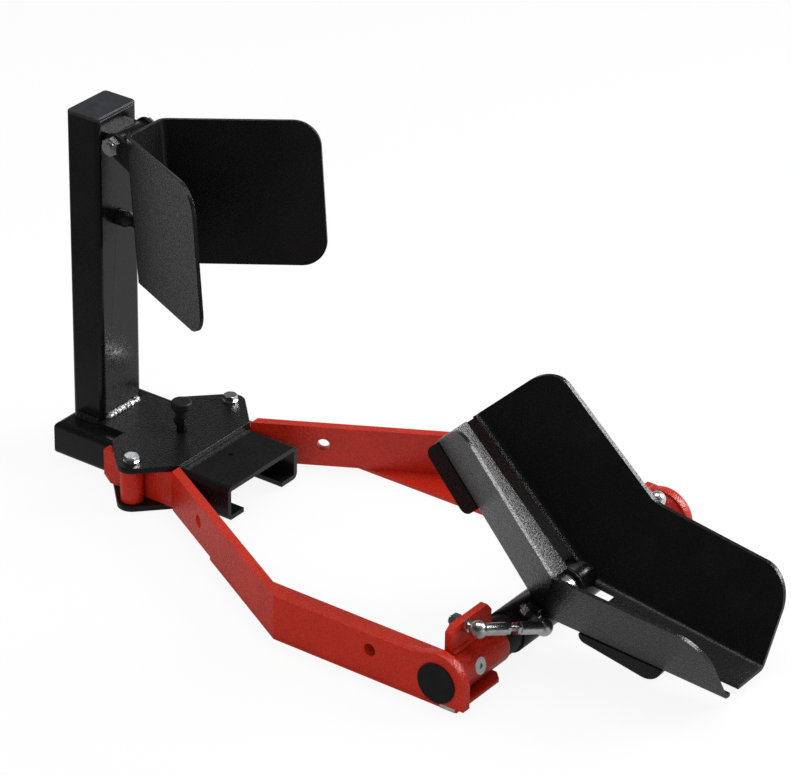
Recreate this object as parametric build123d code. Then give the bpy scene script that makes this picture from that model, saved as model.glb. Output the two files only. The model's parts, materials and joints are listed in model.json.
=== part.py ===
"""Motorcycle wheel chock: a rail base with a mast and a head plate, two arms, and a rocking cradle.

Millimetres. While it is built, X = 0 is the line through the two arm bolts, X points towards the
cradle, Z is up from the floor, and the near side is -Y. At the end all pieces move along X, so that
the origin is at the bottom centre of the whole object.
"""
from build123d import *
import os
from math import asin, cos, degrees, hypot, radians, sin, sqrt, tan

# Fits and gaps
TOUCH = 0.05           # radial clearance of a screw or stud in its hole
RUNNING = 0.06         # radial clearance of a turning or sliding fit
REST_GAP = 0.3         # what a stop stands off from what rests on it

# Rail base
RAIL_REAR = -119.5
RAIL_LENGTH = 222.0
RAIL_HALF_WIDTH = 55.5
RAIL_HEIGHT = 37.0
RAIL_WALL = 5.0
RAIL_LIP = 25.0
RAIL_BEND = 6.5
RAIL_REAR_ROUND = 6.0
RAIL_HOLE_X = 62.0
RAIL_HOLE_RADIUS = 2.5

# Plates above and below the rail
PLATE = 6.0
TONGUE_HALF_WIDTH = 38.0
FLARE_X = -43.0
FLARE_HALF_WIDTH = 57.0
PLATE_FRONT_X = 42.5
PLATE_FRONT_HALF_WIDTH = 56.0
LOBE_RADIUS = 15.2
BOLT_Y = 78.5
BOLT_RADIUS = 4.0

# Mast
MAST_FRONT_X = -76.0
MAST_DEPTH = 40.0
MAST_WIDTH = 60.0
MAST_WALL = 3.0
MAST_CORNER = 5.0
MAST_TOP = 375.5
CAP_THICK = 3.5
CAP_PLUG = 16.0
CAP_WALL = 2.5
CAP_CHAMFER = 1.2
WELD_LEG = 6.0

# Head plate, its hinge and its stop
HEAD_BOLT_X = -59.7
HEAD_BOLT_Z = 355.0
HEAD_BOLT_RADIUS = 5.0
HEAD_NUT = 8.0
HEAD_NUT_FLATS = 17.0
HEAD_TILT = 4.5
HEAD_WEB_X = -33.9
HEAD_WEB_Z = 293.7
HEAD_WEB_HALF_WIDTH = 25.0
HEAD_WING = 155.0
HEAD_HALF_ANGLE = 27.6
HEAD_HEIGHT = 153.0
HEAD_CORNER = 27.0
SHEET = 4.0
SHEET_BEND = 6.0
HEAD_LUG_THICK = 4.0
HEAD_LUG_RADIUS = 12.0
HEAD_LUG_RISE = 4.0
HEAD_LUG_DROP = 24.0
BRACKET_RADIUS = 10.0
BRACKET_HALF_HEIGHT = 8.0
BUFFER_Z = 264.0
BUFFER_RADIUS = 8.5
BUFFER_DOME = 1.5
BUFFER_STUD_RADIUS = 3.0
BUFFER_STUD_TAIL = 9.0

# Index plunger
PLUNGER_THREAD_RADIUS = 5.0
PLUNGER_COLLAR_LOW = 58.0
PLUNGER_COLLAR_HIGH = 65.0
PLUNGER_COLLAR_FLATS = 14.0
PLUNGER_BORE_RADIUS = 3.9
PLUNGER_ROOF = 3.0
PIN_GUIDE_RADIUS = 3.4
PIN_GUIDE = 4.0
PIN_NOSE_RADIUS = 3.0
PIN_STEM_RADIUS = 2.5
PIN_REACH = 9.0
PIN_SHOULDER = 2.0
KNOB_RADIUS = 10.5
KNOB_NECK_RADIUS = 6.0
KNOB_TOP = 83.0
KNOB_HEAD = 9.0
KNOB_ROUND = 2.0
SPRING_RADIUS = 3.2
SPRING_WIRE_RADIUS = 0.35
SPRING_TURNS = 8

# Arms
BAR = 10.0
BAR_LOW = 4.0
BAR_HIGH = 48.0
ARM_SLOPE = 29.3
ARM_OUTER_Y = 192.5
ARM_TAIL_X = -45.0
ARM_BEND_X = 41.2
TAIL_CHAMFER = 8.0
NOTCH_GAP = 0.4
BOSS_RADIUS = 11.6
BOSS_SINK = 0.6
ARM_HOLE_RADIUS = 6.5
REAR_HOLE_X = 102.0
REAR_HOLE_Z = 28.0
FRONT_HOLE_X = 376.0
FRONT_HOLE_Z = 31.0
FOOT = 4.0
FOOT_WIDTH = 77.0
FOOT_AHEAD = 22.9
FOOT_CHAMFER = 9.0
PAD_AHEAD = 3.9
PAD_LENGTH = 17.0
PAD_WIDTH = 20.0

# Shaft and the barrels that carry it
SHAFT_X = 452.1
SHAFT_Z = 24.6
SHAFT_RADIUS = 17.0
SHAFT_WALL = 4.0
BARREL_WALL = 3.5
BARREL_LENGTH = 88.5
END_RIM = 10.0
END_NECK_RADIUS = 80.0
END_CAP_THICK = 2.5
END_CAP_PLUG = 6.0
COLLAR_RISE = 7.0
COLLAR_LENGTH = 9.0
SCREW_INSET = 42.5
SCREW_ANGLE = 14.0
SCREW_RADIUS = 4.0
SCREW_HEAD_RADIUS = 8.4
SCREW_SINK = 0.5
SCREW_CONE = 2.4
SCREW_SOCKET = 5.0
GROOVE_DEPTH = 1.8
GROOVE_HALF_WIDTH = 5.4

# Lugs on the barrels, and the tie rods with their ball joints
LUG_THICK = 8.0
LUG_AHEAD = 1.4
LUG_WIDTH = 64.0
LUG_SIDE_GAP = 0.5
LUG_TOP = 72.0
LUG_ROOT = 34.0
LUG_CORNER = 7.0
BALL_STANDOFF = 13.5
BALL_INSET = 22.6
BALL_Z = 66.1
BALL_RADIUS = 5.0
LEVER_AHEAD = 35.8
LEVER_BALL_Y = 72.3
LEVER_BALL_Z = 38.9
LEVER_BALL_RADIUS = 4.4
LEVER_PLAY = 2.3
SOCKET_RADIUS = 8.7
SHANK_RADIUS = 6.2
SHANK_END = 33.0
STUD_NECK_RADIUS = 2.5
STUD_RADIUS = 4.0
STUD_COLLAR = 4.0
STUD_FLATS = 11.0
STUD_TAIL = 3.0
LINK_ROD_RADIUS = 3.0
LINK_ROD_INSET = 22.0
LOCKNUT = 4.5
LOCKNUT_FLATS = 11.0
MOUTH_STEPS = 6
LEVER_ANGLE = 60.0
LEVER_THICK = 6.0
LEVER_ROOT = 14.0
LEVER_TOP = 9.0
LEVER_HALF_WIDTH = 9.5
LEVER_CORNER = 6.0

# Cradle halves, and how far they tilt and close
CRADLE_TILT = 52.0
CLOSING = 7.0
FLOOR_AHEAD = 14.6
FLOOR_Z = 27.0
FRONT_ANGLE = -5.7
FRONT_LENGTH = 197.5
REAR_ANGLE = 133.4
REAR_LENGTH = 192.5
FOLD_HALF_WIDTH = 42.0
TOE_IN = 2.6
LEAN = 30.4
KINK_HEIGHT = 82.2
FRONT_TIP_HEIGHT = 80.2
FRONT_TIP_SETBACK = 7.2
REAR_TIP_HEIGHT = 77.8
KINK_ROUND = 20.0
FRONT_CORNER = 35.0
REAR_CORNER = 25.0
NARROW_FLANGE = 2.5
FLANGE_GAP = 14.6
CUTOUT = 33.0
REAR_CUTOUT = 22.0
SLEEVE_PASS = 1.2
SLEEVE_RISE = 4.5
SLEEVE_WALL = 2.5
SLEEVE_OUTER_Y = 82.0
SLEEVE_INNER_Y = 20.5
BUSH_GAP = 2.0
BUSH_FLANGE = 3.0
RUNNER_INNER = 8.2
RUNNER_OUTER = 0.0
FRONT_HEEL_S = 47.0
FRONT_HEEL_RADIUS = 8.0
FRONT_FOOT_S = 112.0
FRONT_FOOT_RADIUS = 18.0
REAR_RUNNER_START = 118.0
REAR_RUNNER_END = 191.0
REAR_RUNNER_DEPTH = 20.0
REAR_RUNNER_CORNER = 9.0
STIFFENER_START = 24.0
STIFFENER_DEPTH = 17.0

# Fasteners
NUT = 6.5
NUT_FLATS = 13.0
HEAD = 5.5
WASHER = 1.6
WASHER_RADIUS = 8.0

# Levels and lines that follow from the sizes above
RAIL_TOP = PLATE + RAIL_HEIGHT
PLATE_TOP = RAIL_TOP + PLATE
MAST_REAR_X = MAST_FRONT_X - MAST_DEPTH
MAST_MIDDLE_X = MAST_FRONT_X - MAST_DEPTH / 2
BARREL_RADIUS = SHAFT_RADIUS + BARREL_WALL
BARREL_INNER_Y = ARM_OUTER_Y - BARREL_LENGTH
END_RADIUS = BARREL_RADIUS + END_RIM
COLLAR_RADIUS = BARREL_RADIUS + COLLAR_RISE
SCREW_Y = ARM_OUTER_Y - SCREW_INSET
FOOT_INNER_Y = ARM_OUTER_Y - FOOT_WIDTH
FOOT_FRONT_X = SHAFT_X + FOOT_AHEAD
PAD_REAR_X = SHAFT_X + PAD_AHEAD
SLEEVE_RADIUS = SHAFT_RADIUS + SLEEVE_RISE
BUSH_OUTER_Y = BARREL_INNER_Y - BUSH_GAP
FLOOR_X = SHAFT_X + FLOOR_AHEAD
LUG_FRONT_X = SHAFT_X + LUG_AHEAD
LUG_REAR_X = LUG_FRONT_X - LUG_THICK
LUG_OUTER_Y = ARM_OUTER_Y - 2 * BAR - LUG_SIDE_GAP
LUG_INNER_Y = LUG_OUTER_Y - LUG_WIDTH
BALL_Y = LUG_OUTER_Y - BALL_INSET
BALL = Vector(LUG_FRONT_X + BALL_STANDOFF, -BALL_Y, BALL_Z)
LEVER_BALL_X = SHAFT_X + LEVER_AHEAD
LEVER_BALL = Vector(LEVER_BALL_X, -LEVER_BALL_Y, LEVER_BALL_Z)
TAIL_OUTER_Y = BOLT_Y - BOSS_RADIUS + BOSS_SINK
FRONT_BEND_X = ARM_BEND_X + (ARM_OUTER_Y - TAIL_OUTER_Y) / tan(radians(ARM_SLOPE))
BEND_INSET = (SHEET + SHEET_BEND) * tan(radians(90 - LEAN) / 2)
SLEEVE_BORE = SLEEVE_RADIUS - SLEEVE_WALL
TILT_AXIS = Axis((0, 0, 0), (0, -1, 0))
LEVER_OUT = Vector(cos(radians(LEVER_ANGLE)), 0, sin(radians(LEVER_ANGLE)))
LEVER_BACK = Vector(-sin(radians(LEVER_ANGLE)), 0, cos(radians(LEVER_ANGLE)))
FAR_AWAY = 1000.0


def box(x, y, z):
    """A block between the low and high values of each axis."""
    size = [high - low for low, high in (x, y, z)]
    middle = [(low + high) / 2 for low, high in (x, y, z)]
    return Pos(*middle) * Box(*size)


def rod(radius, start, end):
    """A round bar between two points."""
    along = Vector(*end) - Vector(*start)
    return extrude(Plane(origin=start, z_dir=along) * Circle(radius), along.length)


def tube(outer, inner, start, end):
    """A round tube between two points."""
    return rod(outer, start, end) - rod(inner, start, end)


def hexagon(flats, start, end, corner=(0, 1, 0), crown=0.8):
    """A hexagonal bar between two points, with a corner in a given direction, chamfered at the far end."""
    along = Vector(*end) - Vector(*start)
    plane = Plane(origin=start, x_dir=corner, z_dir=along)
    body = extrude(plane * RegularPolygon(flats / 2, 6, major_radius=False), along.length)
    tip = flats / sqrt(3) - crown
    turned = Cone(tip + along.length * sqrt(3), tip, along.length)
    return body & (plane * (Pos(0, 0, along.length / 2) * turned))


def nut(flats, bore, start, end, corner=(0, 1, 0)):
    """A hexagon nut between two points."""
    return hexagon(flats, start, end, corner) - rod(bore, start, end)


def wall(outline, inner_y, outer_y):
    """A plate that stands along the near side, from an outline in X and Z."""
    plane = Plane(origin=(0, -inner_y, 0), x_dir=(1, 0, 0), z_dir=(0, -1, 0))
    return extrude(plane * outline, outer_y - inner_y)


def slab(outline, low, high):
    """A plate that lies flat: an outline in X and Y, between two heights."""
    return extrude(Plane.XY.offset(low) * outline, high - low)


def outline(*points):
    """A flat outline from its corners."""
    return make_face(Polyline(*points, close=True))


def rectangle(x, y):
    """A flat rectangle between two values of each axis."""
    return Pos((x[0] + x[1]) / 2, (y[0] + y[1]) / 2) * Rectangle(x[1] - x[0], y[1] - y[0])


def round_corner(sketch, x, y, radius):
    """Rounds the corner of a flat outline that is nearest to a point."""
    corner = sketch.vertices().sort_by(lambda v: hypot(v.X - x, v.Y - y))[0]
    return fillet(corner, radius)


def far(piece):
    """The same piece on the far side."""
    return mirror(piece, Plane.XZ)


def pair(piece):
    """A piece and its mirror image, as one group of solids."""
    return Compound([*piece.solids(), *far(piece).solids()])


# Rail base

def c_rail():
    """The whole C rail: a channel that opens downwards, with lips turned in."""
    half, t = RAIL_HALF_WIDTH, RAIL_WALL
    outer = fillet(Rectangle(2 * half, RAIL_HEIGHT).vertices(), RAIL_BEND)
    inner = fillet(Rectangle(2 * (half - t), RAIL_HEIGHT - 2 * t).vertices(), RAIL_BEND - t)
    slot = rectangle((-half + RAIL_LIP, half - RAIL_LIP), (-RAIL_HEIGHT, 0))
    plane = Plane(origin=(RAIL_REAR, 0, PLATE + RAIL_HEIGHT / 2), x_dir=(0, 1, 0), z_dir=(1, 0, 0))
    body = extrude(plane * (outer - inner - slot), RAIL_LENGTH)
    body -= rod(PLUNGER_THREAD_RADIUS + TOUCH, (0, 0, RAIL_TOP - 2 * t), (0, 0, PLATE_TOP))
    body -= rod(RAIL_HOLE_RADIUS, (RAIL_HOLE_X, 0, RAIL_TOP - 2 * t), (RAIL_HOLE_X, 0, PLATE_TOP))
    start, low = RAIL_REAR + RAIL_REAR_ROUND, RAIL_TOP - RAIL_REAR_ROUND
    corner = box((RAIL_REAR, start), (-half, half), (low, RAIL_TOP))
    return body - (corner - rod(RAIL_REAR_ROUND, (start, -half, low), (start, half, low)))


def rail_top():
    """The rail down to where its bends end."""
    return c_rail() & box((-FAR_AWAY, FAR_AWAY), (-FAR_AWAY, FAR_AWAY), (RAIL_TOP - RAIL_BEND, RAIL_TOP))


def rail_sides():
    """The rail's two sides below the bends, with their lips."""
    return c_rail() & box((-FAR_AWAY, FAR_AWAY), (-FAR_AWAY, FAR_AWAY), (0, RAIL_TOP - RAIL_BEND))


def plate_outline():
    """Outline of the top plate and of the lobes under the rail, without the tongue."""
    corners = outline(
        (PLATE_FRONT_X, -PLATE_FRONT_HALF_WIDTH),
        (PLATE_FRONT_X, PLATE_FRONT_HALF_WIDTH),
        (FLARE_X, FLARE_HALF_WIDTH),
        (FLARE_X, -FLARE_HALF_WIDTH),
    )
    lobes = [Pos(0, y) * Circle(LOBE_RADIUS) for y in (-BOLT_Y, BOLT_Y)]
    return make_hull([edge for part in (corners, *lobes) for edge in part.edges()])


def bolt_holes():
    """The two arm bolt holes, as bars to cut with."""
    return pair(rod(BOLT_RADIUS + TOUCH, (0, -BOLT_Y, -PLATE), (0, -BOLT_Y, 2 * PLATE_TOP)))


def top_plate():
    tongue = rectangle((MAST_FRONT_X, FLARE_X), (-TONGUE_HALF_WIDTH, TONGUE_HALF_WIDTH))
    body = slab(plate_outline() + tongue, RAIL_TOP, PLATE_TOP) - bolt_holes()
    return body - rod(PLUNGER_THREAD_RADIUS + TOUCH, (0, 0, 0), (0, 0, 2 * PLATE_TOP))


def lower_lobes():
    """The two plates under the rail's lips, which leave the slot between the lips free."""
    slot = RAIL_HALF_WIDTH - RAIL_LIP
    body = slab(plate_outline(), 0, PLATE) - bolt_holes()
    return body - box((-FAR_AWAY, FAR_AWAY), (-slot, slot), (-PLATE, 2 * PLATE))


# Mast

def mast_section(inset):
    """The mast's cross-section, or its bore when it is inset by the wall."""
    section = Rectangle(MAST_DEPTH - 2 * inset, MAST_WIDTH - 2 * inset)
    return Pos(MAST_MIDDLE_X, 0) * fillet(section.vertices(), MAST_CORNER - inset)


def mast_tube():
    body = slab(mast_section(0) - mast_section(MAST_WALL), RAIL_TOP, MAST_TOP)
    stud = (MAST_FRONT_X - 2 * MAST_WALL, 0, BUFFER_Z), (MAST_FRONT_X, 0, BUFFER_Z)
    return body - rod(BUFFER_STUD_RADIUS + TOUCH, *stud)


def mast_cap():
    """The plug in the mast's top: a flat head, and a hollow plug inside the tube."""
    head = slab(mast_section(0), MAST_TOP, MAST_TOP + CAP_THICK)
    head = chamfer(head.faces().sort_by(Axis.Z)[-1].edges(), CAP_CHAMFER)
    inset = MAST_WALL + TOUCH
    plug = Rectangle(MAST_DEPTH - 2 * inset, MAST_WIDTH - 2 * inset)
    inner = Rectangle(MAST_DEPTH - 2 * inset - 2 * CAP_WALL, MAST_WIDTH - 2 * inset - 2 * CAP_WALL)
    ring = Pos(MAST_MIDDLE_X, 0) * (fillet(plug.vertices(), MAST_CORNER - MAST_WALL) - inner)
    return head + slab(ring, MAST_TOP - CAP_PLUG, MAST_TOP)


def weld_bead(start, end, out):
    """A three-sided bead along a corner. The vector out points away from the wall that it lies on."""
    start, out, up = Vector(*start), Vector(*out) * WELD_LEG, Vector(0, 0, WELD_LEG)
    run = Vector(*end) - start
    return extrude(outline(start, start + out, start + up), run.length, dir=run)


def mast_weld():
    """The fillet weld at the mast's foot: on the plate in front, and on the rail at the sides."""
    half, y = MAST_WIDTH / 2, MAST_WIDTH / 2 - MAST_CORNER
    front = weld_bead((MAST_FRONT_X, -y, PLATE_TOP), (MAST_FRONT_X, y, PLATE_TOP), (1, 0, 0))
    rear_x, front_x = MAST_REAR_X + MAST_CORNER, MAST_FRONT_X - MAST_CORNER
    side = weld_bead((rear_x, -half, RAIL_TOP), (front_x, -half, RAIL_TOP), (0, -1, 0))
    return Compound([*front.solids(), *pair(side).solids()])


def mast_bracket():
    """The pivot barrel in front of the mast that the head bolt turns in, with its foot on the mast."""
    half = HEAD_WEB_HALF_WIDTH - HEAD_LUG_THICK - REST_GAP
    low, high = HEAD_BOLT_Z - BRACKET_HALF_HEIGHT, HEAD_BOLT_Z + BRACKET_HALF_HEIGHT
    ends = (HEAD_BOLT_X, -half, HEAD_BOLT_Z), (HEAD_BOLT_X, half, HEAD_BOLT_Z)
    body = rod(BRACKET_RADIUS, *ends)
    body += box((MAST_FRONT_X, HEAD_BOLT_X), (-half, half), (low, high))
    return body - rod(HEAD_BOLT_RADIUS + RUNNING, *ends)


# Head plate

def head_frame():
    """The head plate's own frame: X forward from the web, Y across, Z up along the web."""
    tilt = radians(HEAD_TILT)
    forward, up = (cos(tilt), 0, sin(tilt)), (-sin(tilt), 0, cos(tilt))
    return Plane(origin=(HEAD_WEB_X, 0, HEAD_WEB_Z), x_dir=forward, z_dir=up)


def head_back_x(z):
    """Where the back of the head plate's web is at a height."""
    tilt = radians(HEAD_TILT)
    return HEAD_WEB_X - (z - HEAD_WEB_Z) * tan(tilt) - SHEET / cos(tilt)


def head_plate():
    """The V plate that the tyre runs into: a web and two wings of bent sheet with rounded corners."""
    half, angle = HEAD_WEB_HALF_WIDTH, radians(HEAD_HALF_ANGLE)
    reach, spread = HEAD_WING * cos(angle), HEAD_WING * sin(angle)
    miter = SHEET * tan((radians(90) - angle) / 2)
    tip_x, tip_y = reach - SHEET * sin(angle), half + spread + SHEET * cos(angle)
    inside = [(reach, -half - spread), (0, -half), (0, half), (reach, half + spread)]
    back = [(tip_x, tip_y), (-SHEET, half + miter), (-SHEET, -half - miter), (tip_x, -tip_y)]
    section = outline(*inside, *back)
    for y in (-half, half):
        section = round_corner(section, 0, y, SHEET_BEND)
    for y in (-half - miter, half + miter):
        section = round_corner(section, -SHEET, y, SHEET_BEND + SHEET)
    body = extrude(section, HEAD_HEIGHT / 2, both=True)
    tips = body.edges().filter_by(lambda e: e.center().X > reach / 2)
    tips = [edge for edge in tips if abs(edge.length - SHEET) < SHEET / 100]
    return head_frame() * fillet(tips, HEAD_CORNER)


def head_lugs():
    """The two ears welded to the back of the web, with the bolt holes."""
    low, high = HEAD_BOLT_Z - HEAD_LUG_DROP, HEAD_BOLT_Z + HEAD_LUG_RISE
    centre = Pos(HEAD_BOLT_X, HEAD_BOLT_Z)
    eye = centre * Circle(HEAD_LUG_RADIUS)
    root = outline((head_back_x(low), low), (head_back_x(high), high), (HEAD_BOLT_X, HEAD_BOLT_Z))
    sheet = make_hull([*eye.edges(), *root.edges()]) - centre * Circle(HEAD_BOLT_RADIUS + TOUCH)
    return pair(wall(sheet, HEAD_WEB_HALF_WIDTH - HEAD_LUG_THICK, HEAD_WEB_HALF_WIDTH))


def head_bolt():
    """The hinge bolt: its head on the far ear, its thread out of the nut on the near one."""
    half = HEAD_WEB_HALF_WIDTH
    tail = (HEAD_BOLT_X, -half - HEAD_NUT - STUD_TAIL, HEAD_BOLT_Z)
    seat, top = (HEAD_BOLT_X, half, HEAD_BOLT_Z), (HEAD_BOLT_X, half + HEAD, HEAD_BOLT_Z)
    return rod(HEAD_BOLT_RADIUS, tail, seat) + hexagon(HEAD_NUT_FLATS, seat, top, corner=(0, 0, 1))


def head_nut():
    """The self-locking nut, with its raised collar."""
    start = (HEAD_BOLT_X, -HEAD_WEB_HALF_WIDTH, HEAD_BOLT_Z)
    middle = (HEAD_BOLT_X, -HEAD_WEB_HALF_WIDTH - HEAD_NUT + 1, HEAD_BOLT_Z)
    end = (HEAD_BOLT_X, -HEAD_WEB_HALF_WIDTH - HEAD_NUT - 1, HEAD_BOLT_Z)
    body = nut(HEAD_NUT_FLATS, HEAD_BOLT_RADIUS, start, middle, corner=(0, 0, 1))
    return body + tube(HEAD_NUT_FLATS / 2 - 0.8, HEAD_BOLT_RADIUS, middle, end)


def stop_buffer():
    """The rubber stop on the mast that the web leans on, with a slightly domed end."""
    tip = (head_back_x(BUFFER_Z) - REST_GAP - MAST_FRONT_X, 0)
    ball = (BUFFER_RADIUS ** 2 + BUFFER_DOME ** 2) / (2 * BUFFER_DOME)
    dome = JernArc(start=tip, tangent=(0, 1), radius=ball, arc_size=degrees(asin(BUFFER_RADIUS / ball)))
    profile = make_face(dome + Polyline(dome @ 1, (0, BUFFER_RADIUS), (0, 0), tip))
    body = Pos(MAST_FRONT_X, 0, BUFFER_Z) * revolve(profile, Axis.X)
    stud = (MAST_FRONT_X, 0, BUFFER_Z), (MAST_FRONT_X + BUFFER_STUD_TAIL, 0, BUFFER_Z)
    return body - rod(BUFFER_STUD_RADIUS, *stud)


def buffer_stud():
    """The stud in the rubber stop, with its nut inside the mast."""
    inside, outside = MAST_FRONT_X - MAST_WALL, MAST_FRONT_X + BUFFER_STUD_TAIL
    body = rod(BUFFER_STUD_RADIUS, (inside - BUFFER_STUD_TAIL, 0, BUFFER_Z), (outside, 0, BUFFER_Z))
    return body + hexagon(LOCKNUT_FLATS, (inside, 0, BUFFER_Z), (inside - LOCKNUT, 0, BUFFER_Z))


# Index plunger

def plunger_body():
    """The threaded body through plate and rail, with a hexagon collar and a bore for pin and spring."""
    low, roof = RAIL_TOP - RAIL_WALL, PLUNGER_COLLAR_HIGH - PLUNGER_ROOF
    body = rod(PLUNGER_THREAD_RADIUS, (0, 0, low), (0, 0, PLUNGER_COLLAR_LOW))
    body += hexagon(PLUNGER_COLLAR_FLATS, (0, 0, PLUNGER_COLLAR_LOW), (0, 0, PLUNGER_COLLAR_HIGH))
    body -= rod(PIN_GUIDE_RADIUS + RUNNING, (0, 0, low), (0, 0, roof))
    body -= rod(PLUNGER_BORE_RADIUS, (0, 0, low + PIN_GUIDE), (0, 0, roof))
    return body - rod(PIN_STEM_RADIUS + RUNNING, (0, 0, roof), (0, 0, PLUNGER_COLLAR_HIGH))


def shoulder_z():
    """The top of the locking pin's shoulder, which the spring pushes down on."""
    return RAIL_TOP - RAIL_WALL + PIN_GUIDE + REST_GAP + PIN_SHOULDER


def plunger_pin():
    """The locking pin: a nose that reaches into the rail, its guided part, a shoulder and a stem."""
    guide, shoulder = RAIL_TOP - RAIL_WALL, shoulder_z()
    body = rod(PIN_NOSE_RADIUS, (0, 0, guide - PIN_REACH), (0, 0, guide))
    body = chamfer(body.faces().sort_by(Axis.Z)[0].edges(), 1)
    body += rod(PIN_GUIDE_RADIUS, (0, 0, guide), (0, 0, shoulder))
    body += rod(PLUNGER_BORE_RADIUS - RUNNING, (0, 0, shoulder - PIN_SHOULDER), (0, 0, shoulder))
    return body + rod(PIN_STEM_RADIUS, (0, 0, shoulder), (0, 0, KNOB_TOP - KNOB_HEAD / 2))


def plunger_knob():
    low = PLUNGER_COLLAR_HIGH + REST_GAP
    head = rod(KNOB_RADIUS, (0, 0, KNOB_TOP - KNOB_HEAD), (0, 0, KNOB_TOP))
    head = fillet(head.edges(), KNOB_ROUND)
    body = head + rod(KNOB_NECK_RADIUS, (0, 0, low), (0, 0, KNOB_TOP - KNOB_HEAD + KNOB_ROUND))
    return body - rod(PIN_STEM_RADIUS, (0, 0, low), (0, 0, KNOB_TOP - KNOB_HEAD / 2))


def plunger_spring():
    """The coil spring between the pin's shoulder and the roof of the body's bore."""
    wire = SPRING_WIRE_RADIUS
    low, high = shoulder_z() + wire + TOUCH, PLUNGER_COLLAR_HIGH - PLUNGER_ROOF - wire - TOUCH
    path = Pos(0, 0, low) * Helix((high - low) / SPRING_TURNS, high - low, SPRING_RADIUS)
    section = Plane(origin=path @ 0, z_dir=path % 0) * Circle(wire)
    return sweep(section, path=path)


# Arms, near side

def bar_face(inset):
    """The two bends of an arm's outer face, or of a line inside it, seen from above."""
    shift = inset * tan(radians(ARM_SLOPE) / 2)
    return (ARM_BEND_X + shift, inset - TAIL_OUTER_Y), (FRONT_BEND_X + shift, inset - ARM_OUTER_Y)


def arm_bar():
    """The bent flat bar from the base to the shaft, notched between the plates, rounded at the shaft."""
    end, notch = SHAFT_X + END_RADIUS, PLATE_FRONT_X + NOTCH_GAP
    outer, inner = bar_face(0), bar_face(BAR)
    plan = outline(
        (ARM_TAIL_X, -TAIL_OUTER_Y), *outer, (end, -ARM_OUTER_Y),
        (end, BAR - ARM_OUTER_Y), inner[1], inner[0], (ARM_TAIL_X, BAR - TAIL_OUTER_Y),
    )
    low, high = PLATE + NOTCH_GAP, RAIL_TOP - NOTCH_GAP
    tail = outline(
        (ARM_TAIL_X, low + TAIL_CHAMFER), (ARM_TAIL_X + TAIL_CHAMFER, low), (notch, low),
        (notch, high), (ARM_TAIL_X, high),
    )
    side = rectangle((notch, SHAFT_X), (BAR_LOW, BAR_HIGH)) + Pos(SHAFT_X, SHAFT_Z) * Circle(END_RADIUS)
    side += rectangle((SHAFT_X, end), (BAR_LOW, SHAFT_Z))
    side -= rectangle((notch, end), (-FAR_AWAY, BAR_LOW))
    rise = sqrt(END_RADIUS ** 2 - (BAR_HIGH - SHAFT_Z) ** 2)
    side = round_corner(side, SHAFT_X - rise, BAR_HIGH, END_NECK_RADIUS)
    body = slab(plan, 0, 2 * BAR_HIGH) & wall(side + tail, 0, 2 * ARM_OUTER_Y)
    body -= rod(BARREL_RADIUS, (SHAFT_X, -ARM_OUTER_Y, SHAFT_Z), (SHAFT_X, 0, SHAFT_Z))
    return body - arm_holes()


def arm_holes():
    """The two cross holes of an arm: square to the slanted stretch, and square to the straight one."""
    slope = radians(ARM_SLOPE)
    face_y = TAIL_OUTER_Y + (REAR_HOLE_X - ARM_BEND_X) * tan(slope)
    outside = Vector(REAR_HOLE_X, -face_y, REAR_HOLE_Z)
    across = Vector(sin(slope), cos(slope), 0) * 2 * BAR
    rear = rod(ARM_HOLE_RADIUS, outside - across, outside + across)
    front = (FRONT_HOLE_X, -ARM_OUTER_Y, FRONT_HOLE_Z), (FRONT_HOLE_X, -FOOT_INNER_Y, FRONT_HOLE_Z)
    return rear + rod(ARM_HOLE_RADIUS, *front)


def arm_doubler():
    """The second bar inside the straight stretch, which starts against the slanted one."""
    outer, inner = bar_face(BAR)[1], bar_face(2 * BAR)[1]
    start = outer[0] - BAR / tan(radians(ARM_SLOPE))
    plan = outline(outer, (SHAFT_X, outer[1]), (SHAFT_X, inner[1]), (start, inner[1]))
    body = slab(plan, BAR_LOW, BAR_HIGH)
    body -= rod(BARREL_RADIUS, (SHAFT_X, -ARM_OUTER_Y, SHAFT_Z), (SHAFT_X, 0, SHAFT_Z))
    return body - arm_holes()


def arm_boss():
    """The tube that the arm bolt passes through, welded to the bar between the plates."""
    low, high = PLATE + NOTCH_GAP, RAIL_TOP - NOTCH_GAP
    body = rod(BOSS_RADIUS, (0, -BOLT_Y, low), (0, -BOLT_Y, high)) - bolt_holes()
    return body - box((-FAR_AWAY, FAR_AWAY), (-TAIL_OUTER_Y, 0), (low, high))


def arm_foot():
    """The flat plate under the arm, from where the arm spreads to the shaft, with the pad's recess."""
    start = ARM_BEND_X + (FOOT_INNER_Y - TAIL_OUTER_Y) / tan(radians(ARM_SLOPE))
    plan = outline(
        (start, -FOOT_INNER_Y), (FRONT_BEND_X, -ARM_OUTER_Y), (FOOT_FRONT_X, -ARM_OUTER_Y),
        (FOOT_FRONT_X, -FOOT_INNER_Y - FOOT_CHAMFER), (FOOT_FRONT_X - FOOT_CHAMFER, -FOOT_INNER_Y),
    )
    return slab(plan, 0, FOOT) - glide_pad(0)


def glide_pad(play):
    """The plastic pad let into the foot under the arm's end."""
    x = (PAD_REAR_X + play, PAD_REAR_X + PAD_LENGTH - play)
    return box(x, (-ARM_OUTER_Y, PAD_WIDTH - ARM_OUTER_Y - play), (0, FOOT))


def barrel_screw_frame():
    """A frame at the shaft's axis whose Z points out through the retaining screw."""
    angle = radians(SCREW_ANGLE)
    return Plane(origin=(SHAFT_X, -SCREW_Y, SHAFT_Z), x_dir=(0, 1, 0), z_dir=(cos(angle), 0, sin(angle)))


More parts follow.
